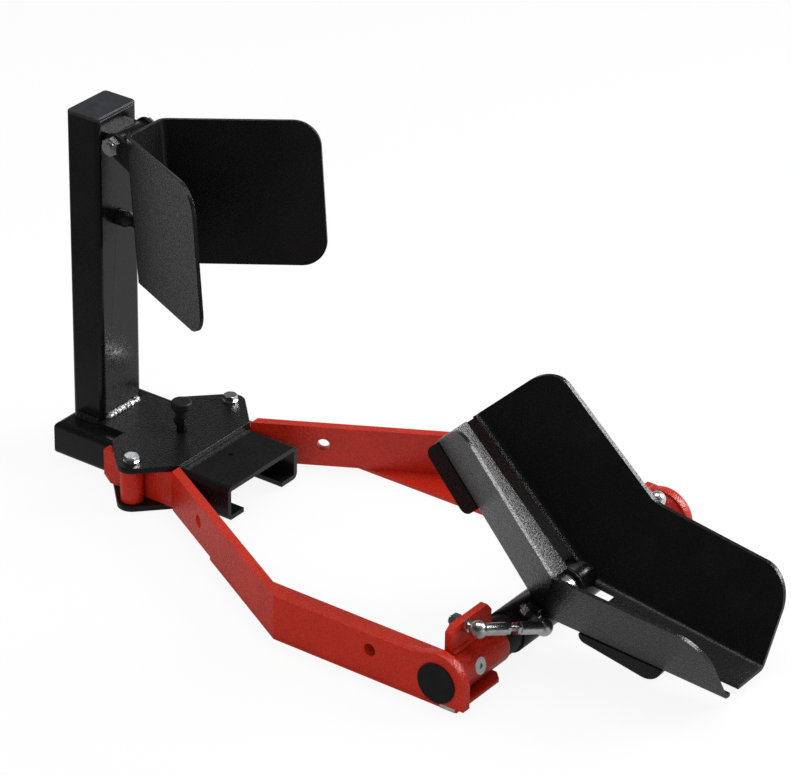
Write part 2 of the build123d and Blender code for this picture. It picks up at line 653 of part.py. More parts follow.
def barrel_screw(play, socket=True):
    """The countersunk screw in the barrel, whose nose runs in the shaft's groove."""
    top = BARREL_RADIUS - SCREW_SINK
    low = top - SCREW_CONE
    nose = SHAFT_RADIUS - GROOVE_DEPTH + REST_GAP
    body = Pos(0, 0, (low + top) / 2) * Cone(SCREW_RADIUS + play, SCREW_HEAD_RADIUS + play, SCREW_CONE)
    body += Pos(0, 0, (nose + low) / 2) * Cylinder(SCREW_RADIUS + play, low - nose)
    if socket:
        hexagonal = RegularPolygon(SCREW_SOCKET / 2, 6, major_radius=False)
        body -= Pos(0, 0, top) * extrude(hexagonal, SCREW_CONE / 2, both=True)
    else:
        body += Pos(0, 0, top + SCREW_CONE / 2) * Cylinder(SCREW_HEAD_RADIUS + play, SCREW_CONE)
    return barrel_screw_frame() * body


def barrel():
    """The tube at the arm's end that carries the shaft, with the weld that widens it at the bar."""
    inner_end, outer_end = (SHAFT_X, -BARREL_INNER_Y, SHAFT_Z), (SHAFT_X, -ARM_OUTER_Y, SHAFT_Z)
    bar_y = ARM_OUTER_Y - BAR
    weld = Cone(COLLAR_RADIUS, BARREL_RADIUS, COLLAR_LENGTH)
    weld = Pos(SHAFT_X, -bar_y + COLLAR_LENGTH / 2, SHAFT_Z) * Rot(X=-90) * weld
    weld &= box((SHAFT_X, FAR_AWAY), (-bar_y, 0), (FOOT + REST_GAP, FAR_AWAY))
    body = rod(BARREL_RADIUS, inner_end, outer_end) + weld
    return body - rod(SHAFT_RADIUS + RUNNING, inner_end, outer_end) - barrel_screw(0, socket=False)


def end_cap():
    """The plastic plug in the barrel's outer end."""
    face = -ARM_OUTER_Y
    head = rod(BARREL_RADIUS, (SHAFT_X, face, SHAFT_Z), (SHAFT_X, face - END_CAP_THICK, SHAFT_Z))
    head = chamfer(head.faces().sort_by(Axis.Y)[0].edges(), END_CAP_THICK / 3)
    return head + rod(SHAFT_RADIUS, (SHAFT_X, face + END_CAP_PLUG, SHAFT_Z), (SHAFT_X, face, SHAFT_Z))


def barrel_lug():
    """The upright plate on the barrel that holds the tie rod's outer ball."""
    cut = LUG_CORNER
    plate = outline(
        (-LUG_INNER_Y, LUG_ROOT), (-LUG_INNER_Y, LUG_TOP - 1.2 * cut), (-LUG_INNER_Y - cut, LUG_TOP),
        (-LUG_OUTER_Y + cut, LUG_TOP), (-LUG_OUTER_Y, LUG_TOP - 0.7 * cut), (-LUG_OUTER_Y, LUG_ROOT),
    )
    plane = Plane(origin=(LUG_REAR_X, 0, 0), x_dir=(0, 1, 0), z_dir=(1, 0, 0))
    body = extrude(plane * plate, LUG_THICK)
    body -= rod(BARREL_RADIUS, (SHAFT_X, -ARM_OUTER_Y, SHAFT_Z), (SHAFT_X, 0, SHAFT_Z))
    return body - rod(STUD_RADIUS + TOUCH, (LUG_REAR_X, -BALL_Y, BALL_Z), (LUG_FRONT_X, -BALL_Y, BALL_Z))


def cross_shaft():
    """The tube that both halves ride on, with a groove at each end for the retaining screw."""
    end = ARM_OUTER_Y - END_CAP_PLUG - 1
    body = tube(SHAFT_RADIUS, SHAFT_RADIUS - SHAFT_WALL, (SHAFT_X, -end, SHAFT_Z), (SHAFT_X, end, SHAFT_Z))
    for y in (-SCREW_Y, SCREW_Y):
        low, high = (SHAFT_X, y - GROOVE_HALF_WIDTH, SHAFT_Z), (SHAFT_X, y + GROOVE_HALF_WIDTH, SHAFT_Z)
        body -= tube(SHAFT_RADIUS + 1, SHAFT_RADIUS - GROOVE_DEPTH, low, high)
    return body


# Ball studs and tie rods, near side

def ball_stud(ball, radius, back, plate):
    """A ball stud: the ball, a neck, a hexagon collar against a plate, and the thread through it."""
    seat = ball + back * BALL_STANDOFF
    body = Pos(ball) * Sphere(radius)
    body += rod(STUD_NECK_RADIUS, ball, seat)
    body += hexagon(STUD_FLATS, seat, seat - back * STUD_COLLAR)
    return body + rod(STUD_RADIUS, seat, seat + back * (plate + NUT + STUD_TAIL))


def stud_nut(ball, back, plate):
    seat = ball + back * (BALL_STANDOFF + plate)
    return nut(NUT_FLATS, STUD_RADIUS, seat, seat + back * NUT)


def lever_ball_at(share):
    """Where the inner ball is after a share of the cradle's tilt and of the half's closing."""
    arm = (LEVER_BALL - Vector(SHAFT_X, 0, SHAFT_Z)).rotate(TILT_AXIS, share * CRADLE_TILT)
    return Vector(SHAFT_X, 0, SHAFT_Z) + arm + Vector(0, share * CLOSING, 0)


def link_turn():
    """The axis through the outer ball that the tie rod turns about, and its whole turn in degrees: the
    cone about it passes through the inner ball's first, middle and last place."""
    first, middle, last = ((lever_ball_at(share) - BALL).normalized() for share in (0, 0.5, 1))
    axis = (middle - first).cross(last - first).normalized()
    spokes = [end - axis * end.dot(axis) for end in (first, last)]
    turn = spokes[0].get_angle(spokes[1])
    return (axis, turn) if spokes[0].cross(spokes[1]).dot(axis) > 0 else (axis * -1, turn)


def socket(centre, other, cavity, play, studs):
    """One end of a tie rod: a ball housing with a mouth along all the stud's directions, and a shank."""
    along = (other - centre).normalized()
    body = Pos(centre) * Sphere(SOCKET_RADIUS) + rod(SHANK_RADIUS, centre, centre + along * SHANK_END)
    body -= Pos(centre) * Sphere(cavity)
    for stud in studs:
        body -= rod(STUD_NECK_RADIUS + play, centre, centre + stud * 2 * SOCKET_RADIUS)
    return body - rod(LINK_ROD_RADIUS, centre + along * LINK_ROD_INSET, centre + along * SHANK_END)


def link_sockets():
    axis, turn = link_turn()
    axis = Axis((0, 0, 0), axis)
    shares = [step / (MOUTH_STEPS - 1) for step in range(MOUTH_STEPS)]
    lug_studs = [Vector(-1, 0, 0).rotate(axis, -turn * share) for share in shares]
    tilted = [LEVER_BACK.rotate(TILT_AXIS, CRADLE_TILT * share) for share in shares]
    lever_studs = [stud.rotate(axis, -turn * share) for stud, share in zip(tilted, shares)]
    outer = socket(BALL, LEVER_BALL, BALL_RADIUS + RUNNING, REST_GAP, lug_studs)
    inner = socket(LEVER_BALL, BALL, LEVER_BALL_RADIUS + LEVER_PLAY, LEVER_PLAY, lever_studs)
    return Compound([*outer.solids(), *inner.solids()])


def link_rod():
    along = (LEVER_BALL - BALL).normalized()
    return rod(LINK_ROD_RADIUS, BALL + along * LINK_ROD_INSET, LEVER_BALL - along * LINK_ROD_INSET)


def link_locknuts():
    along = (LEVER_BALL - BALL).normalized()
    nuts = []
    for centre, reach in ((BALL, along), (LEVER_BALL, along * -1)):
        start = centre + reach * SHANK_END
        end = start + reach * LOCKNUT
        nuts += nut(LOCKNUT_FLATS, LINK_ROD_RADIUS, start, end, corner=(0, 0, 1)).solids()
    return Compound(nuts)


def cradle_lever():
    """The small plate on the sleeve that holds the tie rod's inner ball."""
    plane = Plane(origin=LEVER_BALL + LEVER_BACK * BALL_STANDOFF, x_dir=LEVER_OUT, z_dir=LEVER_BACK)
    plate = rectangle((-LEVER_ROOT, LEVER_TOP), (-LEVER_HALF_WIDTH, LEVER_HALF_WIDTH))
    for y in (-LEVER_HALF_WIDTH, LEVER_HALF_WIDTH):
        plate = round_corner(plate, LEVER_TOP, y, LEVER_CORNER)
    body = extrude(plane * (plate - Circle(STUD_RADIUS + TOUCH)), LEVER_THICK)
    return body - rod(SLEEVE_RADIUS, (SHAFT_X, -2 * SLEEVE_OUTER_Y, SHAFT_Z), (SHAFT_X, 0, SHAFT_Z))


# Cradle halves, near side

class Stretch:
    """One straight stretch of the cradle's trough. s runs along its floor from the vertex, w outwards
    from the middle to the near side, and n up from the underside of the floor."""

    def __init__(self, angle, length, up, cutout):
        self.along = Vector(cos(radians(angle)), 0, sin(radians(angle)))
        self.normal = Vector(-up * sin(radians(angle)), 0, up * cos(radians(angle)))
        self.length = length
        self.cutout = cutout

    def point(self, s, w, n):
        return Vector(FLOOR_X, 0, FLOOR_Z) + self.along * s - Vector(0, w, 0) + self.normal * n

    def side(self, s, n):
        """The same point seen from the side, as X and Z."""
        spot = self.point(s, 0, n)
        return spot.X, spot.Z

    def fold(self, s):
        """Half the width of the floor at s, out to the corner where the wing starts."""
        return FOLD_HALF_WIDTH - s * tan(radians(TOE_IN))

    def sheet(self):
        """The bent sheet of floor and wing, longer than the stretch at both ends."""
        lean, tall = radians(LEAN), 2 * KINK_HEIGHT
        miter = SHEET * tan(radians(90 - LEAN) / 2)
        top = (FOLD_HALF_WIDTH + tall * tan(lean), tall)
        section = outline(
            (-FOLD_HALF_WIDTH, 0), (FOLD_HALF_WIDTH, 0), top, (top[0] - SHEET / cos(lean), tall),
            (FOLD_HALF_WIDTH - miter, SHEET), (-FOLD_HALF_WIDTH, SHEET),
        )
        section = round_corner(section, FOLD_HALF_WIDTH - miter, SHEET, SHEET_BEND)
        section = round_corner(section, FOLD_HALF_WIDTH, 0, SHEET_BEND + SHEET)
        run = self.along + Vector(0, tan(radians(TOE_IN)), 0)
        start = self.point(0, 0, 0) - run * CUTOUT
        plane = Plane(origin=start, x_dir=(0, -1, 0), z_dir=Vector(0, -1, 0).cross(self.normal))
        length = (self.length + 2 * CUTOUT) * run.length
        return extrude(plane * section, length, dir=run)

    def trim(self, wide):
        """What is cut off the floor: past the flange's edge, and round the shaft."""
        inset = BEND_INSET + NARROW_FLANGE
        ends = (-2 * CUTOUT, self.length + 2 * CUTOUT)
        edge = [(s, self.fold(s) - inset) for s in ends]
        if wide:
            edge = [(s, FLANGE_GAP - w) for s, w in edge]
        past = [*edge, (ends[1], -2 * FOLD_HALF_WIDTH), (ends[0], -2 * FOLD_HALF_WIDTH)]
        shaft = [(s, self.fold(s) - inset) for s in (ends[0], self.cutout)]
        shaft += [(self.cutout, -2 * FOLD_HALF_WIDTH), (ends[0], -2 * FOLD_HALF_WIDTH)]
        tools = []
        for corners in (past, shaft):
            face = outline(*(self.point(s, w, -SHEET) for s, w in corners))
            tools.append(extrude(face, 3 * SHEET, dir=self.normal))
        return tools[0] + tools[1]


FRONT = Stretch(FRONT_ANGLE, FRONT_LENGTH, 1, CUTOUT)
REAR = Stretch(REAR_ANGLE, REAR_LENGTH, -1, REAR_CUTOUT)


def shell(wide_stretch):
    """A half of the trough: both stretches joined at their common plane, cut to the outline of the
    side view. The floor is wide in one stretch and a narrow flange in the other."""
    join = Plane(origin=FRONT.point(0, 0, 0), z_dir=FRONT.along - REAR.along)
    pieces = []
    for stretch, keep in ((FRONT, Keep.TOP), (REAR, Keep.BOTTOM)):
        piece = stretch.sheet() - stretch.trim(stretch is wide_stretch)
        pieces.append(split(piece, bisect_by=join, keep=keep))
    middle = (FRONT.normal + REAR.normal).normalized()
    kink = FRONT.point(0, 0, 0) + middle * (KINK_HEIGHT / middle.dot(FRONT.normal))
    front_tip = FRONT.side(FRONT_LENGTH - FRONT_TIP_SETBACK, FRONT_TIP_HEIGHT)
    rear_tip = REAR.side(REAR_LENGTH, REAR_TIP_HEIGHT)
    profile = outline(
        FRONT.side(0, 0), FRONT.side(FRONT_LENGTH, 0), front_tip,
        (kink.X, kink.Z), rear_tip, REAR.side(REAR_LENGTH, 0),
    )
    profile = round_corner(profile, *front_tip, FRONT_CORNER)
    profile = round_corner(profile, *rear_tip, REAR_CORNER)
    profile = round_corner(profile, kink.X, kink.Z, KINK_ROUND)
    body = (pieces[0] + pieces[1]) & wall(profile, -FAR_AWAY, FAR_AWAY)
    own_end = (SHAFT_X, -SLEEVE_INNER_Y, SHAFT_Z)
    body -= rod(SLEEVE_RADIUS + SLEEVE_PASS, own_end, (SHAFT_X, 2 * SLEEVE_OUTER_Y, SHAFT_Z))
    return body - rod(SLEEVE_RADIUS, (SHAFT_X, -2 * SLEEVE_OUTER_Y, SHAFT_Z), own_end)


def runner(stretch, profile, start, end):
    """A bar on edge under the fold of one stretch, between two places along it."""
    corners = (start, RUNNER_INNER), (start, RUNNER_OUTER), (end, RUNNER_OUTER), (end, RUNNER_INNER)
    lines = [(s, stretch.fold(s) - inset) for s, inset in corners]
    face = outline(*(stretch.point(s, w, -4 * REAR_RUNNER_DEPTH) for s, w in lines))
    column = extrude(face, 4 * REAR_RUNNER_DEPTH, dir=stretch.normal)
    return column & wall(profile, 0, FAR_AWAY)


def runners(stiffened):
    """The two black runners of a half: the front one rests on the floor, the rear one stops the tilt.
    A stiffened half has a bar under its narrow rear flange too."""
    heel = Pos(*FRONT.side(FRONT_HEEL_S, 0)) * Circle(FRONT_HEEL_RADIUS)
    foot = Pos(FRONT.side(FRONT_FOOT_S, 0)[0], FRONT_FOOT_RADIUS) * Circle(FRONT_FOOT_RADIUS)
    front = make_hull([*heel.edges(), *foot.edges()])
    front_span = FRONT_HEEL_S - FRONT_HEEL_RADIUS, FRONT_FOOT_S + 2 * FRONT_FOOT_RADIUS
    corners = [(REAR_RUNNER_START, -REAR_RUNNER_DEPTH), (REAR_RUNNER_END, -REAR_RUNNER_DEPTH)]
    top = [(REAR_RUNNER_END, 0), (REAR_RUNNER_START, 0)]
    rear = outline(*(REAR.side(s, n) for s, n in (*corners, *top)))
    for corner in corners:
        rear = round_corner(rear, *REAR.side(*corner), REAR_RUNNER_CORNER)
    rear_start = STIFFENER_START if stiffened else REAR_RUNNER_START
    if stiffened:
        ends = (STIFFENER_START, REAR_RUNNER_START + REAR_RUNNER_CORNER)
        bar = [(ends[0], -STIFFENER_DEPTH), (ends[1], -STIFFENER_DEPTH), (ends[1], 0), (ends[0], 0)]
        rear += outline(*(REAR.side(s, n) for s, n in bar))
    front_bar = runner(FRONT, front, *front_span)
    rear_bar = runner(REAR, rear, rear_start, REAR_RUNNER_END)
    rear_bar -= rod(SLEEVE_RADIUS, (SHAFT_X, -2 * SLEEVE_OUTER_Y, SHAFT_Z), (SHAFT_X, 0, SHAFT_Z))
    return Compound([*front_bar.solids(), *rear_bar.solids()])


def sleeve():
    """The outer tube of a half, welded into the shell round the shaft."""
    inner, outer = (SHAFT_X, -SLEEVE_INNER_Y, SHAFT_Z), (SHAFT_X, -SLEEVE_OUTER_Y, SHAFT_Z)
    return tube(SLEEVE_RADIUS, SLEEVE_BORE, inner, outer)


def bush():
    """The flanged plain bush in the sleeve, which slides and turns with it."""
    inner, outer = -SLEEVE_INNER_Y + BUSH_FLANGE, -BUSH_OUTER_Y
    body = rod(SLEEVE_BORE, (SHAFT_X, inner, SHAFT_Z), (SHAFT_X, outer, SHAFT_Z))
    body += rod(SLEEVE_RADIUS, (SHAFT_X, inner, SHAFT_Z), (SHAFT_X, -SLEEVE_INNER_Y, SHAFT_Z))
    return body - rod(SHAFT_RADIUS + RUNNING, (SHAFT_X, inner, SHAFT_Z), (SHAFT_X, outer, SHAFT_Z))


# Fasteners in pairs

def arm_bolts():
    """The flange bolts that hold the arms, threaded into the lower lobes."""
    head = PLATE_TOP + WASHER
    bolt = rod(BOLT_RADIUS, (0, -BOLT_Y, TOUCH), (0, -BOLT_Y, head))
    bolt += hexagon(NUT_FLATS, (0, -BOLT_Y, head), (0, -BOLT_Y, head + HEAD))
    return pair(bolt)


def arm_washers():
    low, high = (0, -BOLT_Y, PLATE_TOP), (0, -BOLT_Y, PLATE_TOP + WASHER)
    return pair(tube(WASHER_RADIUS, BOLT_RADIUS + TOUCH, low, high))


def build():
    """Every piece by name, in the frame of the arm bolts."""
    pieces = {
        "rail_top": rail_top(),
        "rail_sides": rail_sides(),
        "top_plate": top_plate(),
        "lower_lobes": lower_lobes(),
        "mast_tube": mast_tube(),
        "mast_cap": mast_cap(),
        "mast_weld": mast_weld(),
        "mast_bracket": mast_bracket(),
        "head_plate": head_plate(),
        "head_lugs": head_lugs(),
        "head_bolt": head_bolt(),
        "head_nut": head_nut(),
        "stop_buffer": stop_buffer(),
        "buffer_stud": buffer_stud(),
        "plunger_body": plunger_body(),
        "plunger_pin": plunger_pin(),
        "plunger_knob": plunger_knob(),
        "plunger_spring": plunger_spring(),
        "arm_bolts": arm_bolts(),
        "arm_washers": arm_washers(),
        "glide_pads": pair(glide_pad(TOUCH)),
        "barrel_screws": pair(barrel_screw(-TOUCH)),
        "lug_nuts": pair(stud_nut(BALL, Vector(-1, 0, 0), LUG_THICK)),
        "cross_shaft": cross_shaft(),
    }
    sided = {
        "arm_bar": arm_bar(),
        "arm_doubler": arm_doubler(),
        "arm_boss": arm_boss(),
        "arm_foot": arm_foot(),
        "barrel": barrel(),
        "end_cap": end_cap(),
        "barrel_lug": barrel_lug(),
        "lug_stud": ball_stud(BALL, BALL_RADIUS, Vector(-1, 0, 0), LUG_THICK),
        "link_sockets": link_sockets(),
        "link_rod": link_rod(),
        "link_locknuts": link_locknuts(),
        "lever": cradle_lever(),
        "lever_stud": ball_stud(LEVER_BALL, LEVER_BALL_RADIUS, LEVER_BACK, LEVER_THICK),
        "lever_nut": stud_nut(LEVER_BALL, LEVER_BACK, LEVER_THICK),
        "sleeve": sleeve(),
        "bush": bush(),
    }
    for name, piece in sided.items():
        pieces["near_" + name] = piece
        pieces["far_" + name] = far(piece)
    pieces["near_shell"] = shell(REAR)
    pieces["far_shell"] = far(shell(FRONT))
    pieces["near_runners"] = runners(stiffened=False)
    pieces["far_runners"] = far(runners(stiffened=True))
    return pieces


pieces = build()
boxes = [piece.bounding_box() for piece in pieces.values()]
ORIGIN_X = (min(b.min.X for b in boxes) + max(b.max.X for b in boxes)) / 2
os.makedirs("parts", exist_ok=True)
for name, piece in pieces.items():
    moved = Pos(-ORIGIN_X, 0, 0) * Compound(list(piece.solids()))
    export_step(moved, f"parts/{name}.step")
print("pieces", len(pieces), "origin from the arm bolts", round(ORIGIN_X, 3))
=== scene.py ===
"""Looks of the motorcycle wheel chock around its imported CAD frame.

Metres, in the CAD's frame: X from the mast towards the cradle, Y to the far side, Z up from the floor.
"""
import json
import math

import bmesh
import bpy
from mathutils import Matrix, Vector


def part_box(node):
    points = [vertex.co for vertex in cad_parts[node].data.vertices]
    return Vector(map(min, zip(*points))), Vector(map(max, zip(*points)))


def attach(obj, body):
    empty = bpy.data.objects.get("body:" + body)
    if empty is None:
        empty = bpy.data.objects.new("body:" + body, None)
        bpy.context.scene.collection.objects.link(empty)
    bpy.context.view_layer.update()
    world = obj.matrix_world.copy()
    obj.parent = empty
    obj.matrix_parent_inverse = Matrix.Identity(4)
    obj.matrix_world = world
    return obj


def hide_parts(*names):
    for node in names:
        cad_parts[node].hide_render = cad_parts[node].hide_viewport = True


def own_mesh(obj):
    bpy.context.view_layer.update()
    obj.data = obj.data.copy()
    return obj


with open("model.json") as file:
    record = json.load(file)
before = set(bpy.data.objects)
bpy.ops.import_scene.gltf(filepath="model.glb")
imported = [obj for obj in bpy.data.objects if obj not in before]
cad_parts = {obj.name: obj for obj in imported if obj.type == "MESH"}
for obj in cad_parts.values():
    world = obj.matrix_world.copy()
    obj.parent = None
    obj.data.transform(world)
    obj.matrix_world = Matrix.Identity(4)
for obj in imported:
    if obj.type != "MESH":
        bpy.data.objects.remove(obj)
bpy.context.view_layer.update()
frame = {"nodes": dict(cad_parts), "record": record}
NODES = frame["nodes"]

# Photograph and camera: pixels, degrees and metres. The target stands TARGET_PIXELS_LOW below the middle.
PHOTO_WIDTH = 791
SENSOR = 36.0
CAMERA_AZIMUTH = 54.215
CAMERA_ELEVATION = 28.712
CAMERA_DISTANCE = 4.031
CAMERA_TARGET = (-0.01888, 0.01233, 0.16609)
CAMERA_ROLL = 0.929
FOCAL_PIXELS = 4221.67
TARGET_PIXELS_LOW = 10.08

# Welds, in metres
WELD_PITCH = 0.0028
MAST_WELD_PITCH = 0.0024
MAST_FRONT_LEG = 0.005
MAST_SIDE_LEG = 0.0058
MAST_WELD_INSET = 0.004
LUG_WELD_LEG = 0.0034
LUG_WELD_INSET = 0.002
WELD_SINK = 0.0004
WELD_ROUND_POINTS = 7
WELD_STEPS_PER_SCALE = 5
WELD_HOLLOW = 0.17
WELD_END_SHARE = 0.35
WELD_SCALE_START = 0.88
WELD_SCALE_GROWTH = 0.16
WELD_WAVER = 0.05
WELD_WAVER_RATE = 900

# Tie rods' threads, in metres
THREAD_RADIUS = 0.003
THREAD_PITCH = 0.001
THREAD_DEPTH = 0.55
THREAD_STEPS_PER_TURN = 6
THREAD_CORNERS = 20

# The plunger's spring, in metres
SPRING_WIRE_RADIUS = 0.00035
SPRING_TURNS = 8
SPRING_STEPS = 200
SPRING_CORNERS = 8

# The rubber stop: shares of its length and of its radius
LATHE_CORNERS = 40
STOP_BODY = ((0, 0.94), (0.04, 1.0), (0.24, 1.0), (0.29, 0.94), (0.36, 0.74), (0.44, 0.66), (0.52, 0.68),
             (0.60, 0.84), (0.68, 0.97), (0.76, 1.0), (0.84, 0.97), (0.91, 0.84), (0.95, 0.62), (0.96, 0.5))
STOP_TIP = ((0.93, 0.50), (0.97, 0.50), (0.99, 0.42), (1.0, 0.2))

# Stage: a place in metres or a direction's share, and the levels that reflections see there
FLOOR_SIZE = 14
FLOOR_BELOW = 0.0004
FLOOR_GREY = 0.8
FLOOR_WHITE_SHARE = 0.9
# The floor's level in reflections by Y: painted shade, dark on the near side and bright on the far side
FLOOR_REFLECTION_SHADE = (-0.24, 0.12, 0.06, 0.8)
WALL_BY_HEIGHT = (0.05, 0.42, 0.9, 0.12)
WALL_BY_SIDE = (-0.75, -0.1, 0.18, 1.0)
SKY_LEVEL = 0.5

SIDES = (("near", -1), ("far", 1))
AHEAD = Vector((1, 0, 0))
UP = Vector((0, 0, 1))
SHAFT_LOW, SHAFT_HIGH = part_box("cross_shaft")
SHAFT = Vector(((SHAFT_LOW.x + SHAFT_HIGH.x) / 2, 0, (SHAFT_LOW.z + SHAFT_HIGH.z) / 2))


# Materials

def new_material(name, colour, roughness, metallic=0.0, specular=0.5):
    """A material, its node tree, its Principled shader and its object coordinates."""
    material = bpy.data.materials.new(name)
    material.use_nodes = True
    tree = material.node_tree
    shader = tree.nodes["Principled BSDF"]
    shader.inputs["Base Color"].default_value = (*colour, 1)
    shader.inputs["Roughness"].default_value = roughness
    shader.inputs["Metallic"].default_value = metallic
    shader.inputs["Specular IOR Level"].default_value = specular
    coords = tree.nodes.new("ShaderNodeTexCoord")
    return material, tree, shader, coords.outputs["Object"]


def noise(tree, vector, scale, detail=2.0, roughness=0.5):
    """A noise texture in object space. The scale is in features per metre."""
    texture = tree.nodes.new("ShaderNodeTexNoise")
    texture.inputs["Scale"].default_value = scale
    texture.inputs["Detail"].default_value = detail
    texture.inputs["Roughness"].default_value = roughness
    tree.links.new(vector, texture.inputs["Vector"])
    return texture.outputs["Fac"]


def remap(tree, value, low, high, new_low, new_high):
    """Maps a value from one range to another, clamped."""
    mapped = tree.nodes.new("ShaderNodeMapRange")
    mapped.inputs["From Min"].default_value = low
    mapped.inputs["From Max"].default_value = high
    mapped.inputs["To Min"].default_value = new_low
    mapped.inputs["To Max"].default_value = new_high
    tree.links.new(value, mapped.inputs["Value"])
    return mapped.outputs["Result"]


def mix_colour(tree, factor, first, second):
    """Mixes two colours by a factor."""
    mixed = tree.nodes.new("ShaderNodeMix")
    mixed.data_type = "RGBA"
    mixed.inputs["A"].default_value = (*first, 1)
    mixed.inputs["B"].default_value = (*second, 1)
    tree.links.new(factor, mixed.inputs["Factor"])
    return mixed.outputs["Result"]


def add_bumps(tree, shader, layers):
    """Chains bumps, each a height, a depth in metres and a strength."""
    previous = None
    for height, depth, strength in layers:
        bump = tree.nodes.new("ShaderNodeBump")
        bump.inputs["Distance"].default_value = depth
        bump.inputs["Strength"].default_value = strength
        tree.links.new(height, bump.inputs["Height"])
        if previous:
            tree.links.new(previous, bump.inputs["Normal"])
        previous = bump.outputs["Normal"]
    tree.links.new(previous, shader.inputs["Normal"])


def powder_coat(name, colour, shade, grain, depth, roughness, specular):
    """Textured powder coat: pebbles with a finer grain on them, and slightly uneven gloss and colour."""
    material, tree, shader, place = new_material(name, colour, roughness, specular=specular)
    pebbles = noise(tree, place, grain, detail=1.5, roughness=0.5)
    fine = noise(tree, place, grain * 2.4, detail=1.5)
    patches = noise(tree, place, scale=22, detail=3.0)
    add_bumps(tree, shader, ((pebbles, depth, 1.0), (fine, depth / 2, 1.0)))
    gloss = remap(tree, pebbles, 0.35, 0.7, roughness - 0.07, roughness + 0.1)
    tree.links.new(gloss, shader.inputs["Roughness"])
    tone = remap(tree, patches, 0.3, 0.7, 0, 1)
    tree.links.new(mix_colour(tree, tone, colour, shade), shader.inputs["Base Color"])
    return material


def plastic(name, colour, shade, grain, roughness, specular=0.5):
    """Moulded plastic or rubber with a faint grain and slight scuffs."""
    material, tree, shader, place = new_material(name, colour, roughness, specular=specular)
    fine = noise(tree, place, grain, detail=2.0)
    scuffs = noise(tree, place, scale=90, detail=4.0, roughness=0.65)
    add_bumps(tree, shader, ((fine, 0.00006, 0.7),))
    gloss = remap(tree, scuffs, 0.4, 0.75, roughness - 0.05, roughness + 0.18)
    tree.links.new(gloss, shader.inputs["Roughness"])
    tone = remap(tree, scuffs, 0.35, 0.75, 0, 1)
    tree.links.new(mix_colour(tree, tone, colour, shade), shader.inputs["Base Color"])
    return material


def metal(name, colour, shade, grain, roughness, stretch):
    """Bright metal with fine tool marks, stretched along one axis, and cloudy patches."""
    material, tree, shader, place = new_material(name, colour, roughness, metallic=1.0)
    squeeze = tree.nodes.new("ShaderNodeMapping")
    squeeze.inputs["Scale"].default_value = stretch
    tree.links.new(place, squeeze.inputs["Vector"])
    marks = noise(tree, squeeze.outputs["Vector"], grain, detail=3.0, roughness=0.6)
    clouds = noise(tree, place, scale=140, detail=2.0)
    add_bumps(tree, shader, ((marks, 0.00003, 0.5),))
    gloss = remap(tree, marks, 0.3, 0.7, roughness - 0.06, roughness + 0.1)
    tree.links.new(gloss, shader.inputs["Roughness"])
    tone = remap(tree, clouds, 0.35, 0.65, 0, 1)
    tree.links.new(mix_colour(tree, tone, colour, shade), shader.inputs["Base Color"])
    return material


DEEP_BLACK = (0.0045, 0.0045, 0.0048)
SOFT_BLACK = (0.0065, 0.0065, 0.007)
BLACK = powder_coat("black_textured_coat", DEEP_BLACK, SOFT_BLACK,
                    grain=430, depth=0.00045, roughness=0.27, specular=0.26)
BLACK_SMOOTH = powder_coat("black_coat_on_tube", DEEP_BLACK, SOFT_BLACK,
                           grain=300, depth=0.00004, roughness=0.22, specular=0.28)
RED = powder_coat("red_textured_coat", (0.48, 0.020, 0.007), (0.40, 0.015, 0.005),
                  grain=430, depth=0.00060, roughness=0.29, specular=0.30)
CAP = plastic("grey_cap_plastic", (0.012, 0.014, 0.017), (0.024, 0.027, 0.031),
              grain=900, roughness=0.42, specular=0.3)
BLACK_PLASTIC = plastic("black_plastic", (0.006, 0.006, 0.006), (0.010, 0.010, 0.010),
                        grain=1100, roughness=0.45, specular=0.3)
PAD = plastic("pad_nylon", (0.42, 0.40, 0.37), (0.33, 0.31, 0.29), grain=700, roughness=0.5)
RUBBER = plastic("black_rubber", (0.005, 0.005, 0.005), (0.008, 0.008, 0.008),
                 grain=600, roughness=0.28, specular=0.4)
ZINC = metal("zinc_plate", (0.74, 0.75, 0.76), (0.62, 0.63, 0.65),
             grain=1500, roughness=0.24, stretch=(1, 1, 1))
STEEL = metal("ground_steel", (0.60, 0.58, 0.55), (0.50, 0.49, 0.47),
              grain=260, roughness=0.26, stretch=(1, 14, 1))

SLOT_MATERIALS = {
    "black_powder": BLACK, "red_powder": RED, "cap_plastic": CAP, "black_plastic": BLACK_PLASTIC,
    "pad_plastic": PAD, "rubber": RUBBER, "zinc": ZINC, "bright_steel": STEEL,
}
# Coated nodes with a smooth skin
SMOOTH_NODES = ("mast_tube", "rail_top", "rail_sides", "mast_bracket", "near_sleeve", "far_sleeve",
                "near_lever", "far_lever")

# Rounding of sharp edges, in metres by slot, and the nodes that keep the edges the CAD gives them
EDGE_ROUND = {"black_powder": 0.0005, "red_powder": 0.0008, "cap_plastic": 0.0005, "black_plastic": 0.0004}
NOT_ROUNDED = ("near_shell", "far_shell", "plunger_knob", "rail_top", "rail_sides")
EDGE_SEGMENTS = 2
EDGE_ANGLE = 40
MERGE_DISTANCE = 0.000002


def dress_cad_nodes():
    """Gives each CAD node its material, and rounds the sharp edges of coated and moulded ones."""
    slots = {entry["node"]: entry["material_slot"] for entry in frame["record"]["subparts"]}
    for name, node in NODES.items():
        slot = slots[name]
        material = BLACK_SMOOTH if name in SMOOTH_NODES else SLOT_MATERIALS[slot]
        node.data.materials.clear()
        node.data.materials.append(material)
        if slot in EDGE_ROUND and name not in NOT_ROUNDED:
            merge = node.modifiers.new("weld", "WELD")
            merge.merge_threshold = MERGE_DISTANCE
            bevel = node.modifiers.new("edges", "BEVEL")
            bevel.width = EDGE_ROUND[slot]
            bevel.segments = EDGE_SEGMENTS
            bevel.limit_method = "ANGLE"
            bevel.angle_limit = math.radians(EDGE_ANGLE)
            bevel.harden_normals = True


# Meshes made in code

